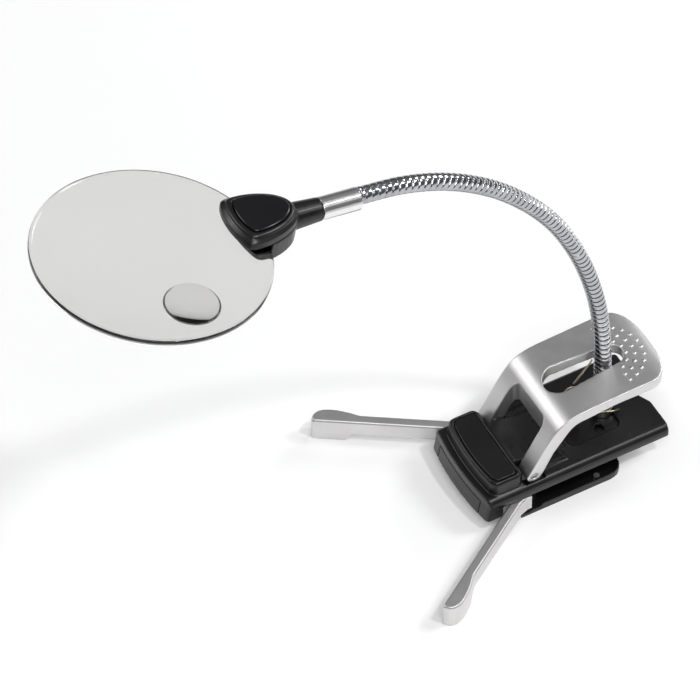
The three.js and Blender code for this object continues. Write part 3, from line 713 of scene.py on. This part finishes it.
def build_head():
    """The head's upper cover, with a wall, a bevel and a ridge round the button, and the button."""
    cover = [
        (0.0, HEAD["split"]), (0.0, 6.0), (0.12, 6.35), (0.42, 6.6), (1.5, 7.45), (1.75, 7.75),
        (1.85, 8.2), (2.05, 8.5), (2.6, 8.85), (3.1, 9.0), (3.6, 9.05), (3.9, 8.95), (4.0, 8.7),
        (4.0, 7.2),
    ]
    cap = [(4.3, 8.3), (4.3, 9.45), (4.38, 9.65), (4.55, 9.82), (4.8, 9.92), (5.2, 10.0)]
    upper = in_head(creased(loft("head_upper_shell", cover), 50))
    finish_piece(upper, "black_plastic", "head", ["head_top"])
    button = in_head(creased(loft("button_cap", cap), 50))
    finish_piece(button, "gloss_black", "button", ["power_button"])


# ---------------------------------------------------------------- return spring
def tube(name, path, radius, sides=12):
    """A closed round wire along a path of points."""
    path = [np.array(p, float) for p in path]
    points = []
    normal = np.array([0.0, 1.0, 0.0])
    for k, centre in enumerate(path):
        t = path[min(k + 1, len(path) - 1)] - path[max(k - 1, 0)]
        t /= np.linalg.norm(t)
        normal = normal - (normal @ t) * t
        if np.linalg.norm(normal) < 1e-3:
            normal = np.cross(t, np.array([1.0, 0.0, 0.3]))
        normal /= np.linalg.norm(normal)
        other = np.cross(t, normal)
        for i in range(sides):
            a = 2 * math.pi * i / sides
            points.append(centre + radius * (math.cos(a) * normal + math.sin(a) * other))
    faces = quad_rows(len(path), sides)
    faces.append(tuple(reversed(range(sides))))
    faces.append(tuple((len(path) - 1) * sides + i for i in range(sides)))
    return mesh_piece(name, points, faces)


def build_spring():
    """The wound coil with its lower arm, and the upper arm that presses on the lever."""
    turns, half, radius = COIL["turns"], COIL["half"], COIL["radius"]
    steps = 28 * turns
    path = [(26.4, -6.4, 20.2), (22.5, -6.6, 21.2), (15.5, -6.6, 24.7)]
    for k in range(steps + 1):
        t = k / steps
        angle = math.radians(-70) + 2 * math.pi * turns * t
        y = -half + 2 * half * t
        path.append((COIL["x"] + radius * math.cos(angle), y, COIL["z"] + radius * math.sin(angle)))
    low = tube("spring_winding", path, SPRING_WIRE)
    finish_piece(low, "spring_steel", "clamp_body", ["spring_coil"])
    reach = [(10.2, 6.9, 33.4), (13.8, 6.6, 38.2), (16.8, 6.3, 42.4), (19.2, 6.3, 45.9)]
    arm = tube("spring_reach", catmull_rom(reach, 8), SPRING_WIRE)
    finish_piece(arm, "spring_steel", "spring_arm", ["spring_arm"])


# ---------------------------------------------------------------- carried-over solids
SOFT_NODES = [
    # piece, node, slot, voxel and smoothing passes
    ("body_moulding", "upper_body", "black_plastic", 0.34, 3),
    ("block_panel", "top_panel", "black_plastic", 0.3, 3),
    ("drawer_moulding", "battery_drawer", "black_plastic", 0.25, 2),
    ("jaw_moulding", "lower_jaw", "black_plastic", 0.36, 3),
    ("near_foot_casting", "foot_near", "satin_silver", 0.3, 3),
    ("far_foot_casting", "foot_far", "satin_silver", 0.3, 3),
    ("head_lower_shell", "head_shell", "black_plastic", 0.28, 3),
    ("ferrule_sleeve", "neck_ferrule", "ferrule_silver", 0.25, 3),
    ("socket_collar", "neck_socket", "screw_steel", 0.25, 3),
]


def apron_hatch():
    """Fine slanted ribs on the low apron beside each leg of the lever."""
    thick, slant = HATCH["thick"], HATCH["slant"]
    ribs = []
    for way in (-1, 1):
        inner, outer = way * 13.4, way * 18.6
        for k in range(HATCH["ribs"]):
            x = HATCH["start"] + HATCH["step"] * k
            top = 20.6 - 0.07 * (x - HATCH["start"])
            far = x + slant
            corners = [(x, inner), (x + thick, inner), (far + thick, outer), (far, outer)]
            ribs.append(extruded("rib", corners, 18.9, top, "Z"))
    return ribs


def build_softened():
    bodies = frame["record"]["behaviour"]["bodies"]
    body_of = {node: body for body, nodes in bodies.items() for node in nodes}
    for name, node, slot, voxel, passes in SOFT_NODES:
        piece = softened(cleaned_copy(name, node), voxel, passes)
        if node == "upper_body":
            join(piece, *apron_hatch())
        finish_piece(piece, slot, body_of[node], [node])


def dress_cad_nodes():
    """Gives the CAD nodes that stay as they are the look of their own slot."""
    slots = {row["node"]: row["material_slot"] for row in frame["record"]["subparts"]}
    for name, obj in frame["nodes"].items():
        if obj.hide_render:
            continue
        obj.data.materials.clear()
        obj.data.materials.append(LOOKS[slots[name]])


# ---------------------------------------------------------------- stage, lights and camera
def build_stage():
    """A sheet of white paper that the lamp stands on."""
    half = 4.0
    floor_mesh = bpy.data.meshes.new("floor")
    corners = [(-half, -half, 0), (half, -half, 0), (half, half, 0), (-half, half, 0)]
    floor_mesh.from_pydata(corners, [], [(0, 1, 2, 3)])
    floor = new_object("floor", floor_mesh)
    paper = new_material("white_paper", Roughness=0.9, Emission_Strength=0.085)
    paper.node_tree.nodes["Principled BSDF"].inputs["Emission Color"].default_value = (1, 1, 1, 1)
    tint(paper, noise(paper, 3), (0.92, 0.92, 0.92), (0.93, 0.93, 0.93))
    floor_mesh.materials.append(paper)


def area_light(name, direction, distance, size, power):
    """A round lamp, aimed at the object from a direction."""
    data = bpy.data.lights.new(name, "AREA")
    data.shape = "DISK"
    data.size = size
    data.energy = power
    lamp = bpy.data.objects.new(name, data)
    scene.collection.objects.link(lamp)
    centre = Vector((-0.06, 0, 0.1))
    way = Vector(direction).normalized()
    lamp.location = centre + distance * way
    lamp.rotation_euler = way.to_track_quat("Z", "Y").to_euler()


def build_lights():
    # name, direction, distance, size and power: one hard lamp for the shadow, and broad boxes
    lamps = [
        ("key", (0.273, -0.436, 1.0), 2.6, 0.2, 15),
        ("side_box", (0.97, -0.31, 1.0), 1.8, 0.5, 9),
        ("front_box", (-0.25, -0.65, 0.9), 2.2, 1.5, 18),
        ("left_box", (-0.60, 0.55, 0.55), 1.8, 0.9, 7),
        ("right_box", (0.85, 0.25, 0.42), 1.8, 0.6, 7),
    ]
    for lamp in lamps:
        area_light(*lamp)
    world = bpy.data.worlds.new("studio")
    scene.world = world
    world.use_nodes = True
    nodes, links = world.node_tree.nodes, world.node_tree.links
    place = nodes.new("ShaderNodeTexCoord")
    height = nodes.new("ShaderNodeSeparateXYZ")
    ramp = nodes.new("ShaderNodeValToRGB")
    steps = ramp.color_ramp.elements
    steps[0].position, steps[0].color = 0.0, (0.12, 0.12, 0.124, 1)
    steps[1].position, steps[1].color = 1.0, (0.30, 0.303, 0.31, 1)
    middle = steps.new(0.45)
    middle.color = (0.16, 0.161, 0.165, 1)
    links.new(place.outputs["Generated"], height.inputs["Vector"])
    links.new(height.outputs["Z"], ramp.inputs["Fac"])
    links.new(ramp.outputs["Color"], nodes["Background"].inputs["Color"])
    nodes["Background"].inputs["Strength"].default_value = 1.0


def build_camera():
    """A level camera on a long lens, at CAMERA's angles and distance from AIM."""
    azimuth = math.radians(CAMERA["azimuth"])
    elevation = math.radians(CAMERA["elevation"])
    level = Vector((math.sin(azimuth), math.cos(azimuth), 0))
    right = Vector((math.cos(azimuth), -math.sin(azimuth), 0))
    forward = math.cos(elevation) * level - math.sin(elevation) * Vector((0, 0, 1))
    up = right.cross(forward)
    data = bpy.data.cameras.new("camera")
    data.sensor_width = 36.0
    data.lens = CAMERA["lens"]
    data.clip_end = 50
    camera = bpy.data.objects.new("camera", data)
    scene.collection.objects.link(camera)
    turn = Matrix((right, up, -forward)).transposed().to_4x4()
    camera.matrix_world = Matrix.Translation(AIM - CAMERA["distance"] * forward) @ turn
    scene.camera = camera


build_camera()
build_stage()
build_lights()
build_lever()
build_neck()
build_lens()
build_insert()
build_head()
build_spring()
build_softened()
dress_cad_nodes()

bpy.context.view_layer.update()
